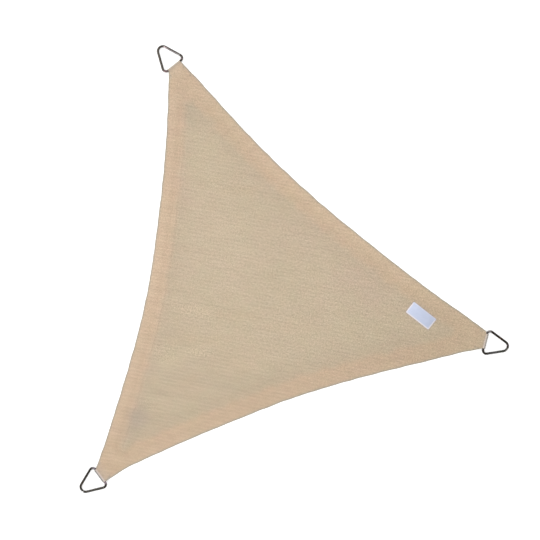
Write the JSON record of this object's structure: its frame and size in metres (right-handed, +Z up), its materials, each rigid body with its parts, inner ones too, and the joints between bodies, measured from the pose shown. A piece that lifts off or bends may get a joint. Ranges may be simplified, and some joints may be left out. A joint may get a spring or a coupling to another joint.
{
  "type": "shade sail",
  "caption": "Flat triangular knitted shade sail with curved-in hemmed edges, a strap loop and a closed wire ring at each corner, and a bare sewn label.",
  "frame": {"origin": "on the underside, at the middle of the three ring tips", "axes": "+Z up from the underside, +X along the lower edge towards the right corner, +Y towards the top corner"},
  "size_m": [1.9917, 1.7677, 0.0136],
  "materials": {
    "cloth": "matt knitted polyethylene",
    "webbing": "matt woven strap",
    "steel": "polished stainless",
    "label": "matt woven"
  },
  "bodies": {
    "root": {"sail_cloth": "cloth", "loop_top": "webbing", "loop_left": "webbing", "loop_right": "webbing", "ring_top": "steel", "ring_left": "steel", "ring_right": "steel", "label": "label"}
  },
  "joints": []
}
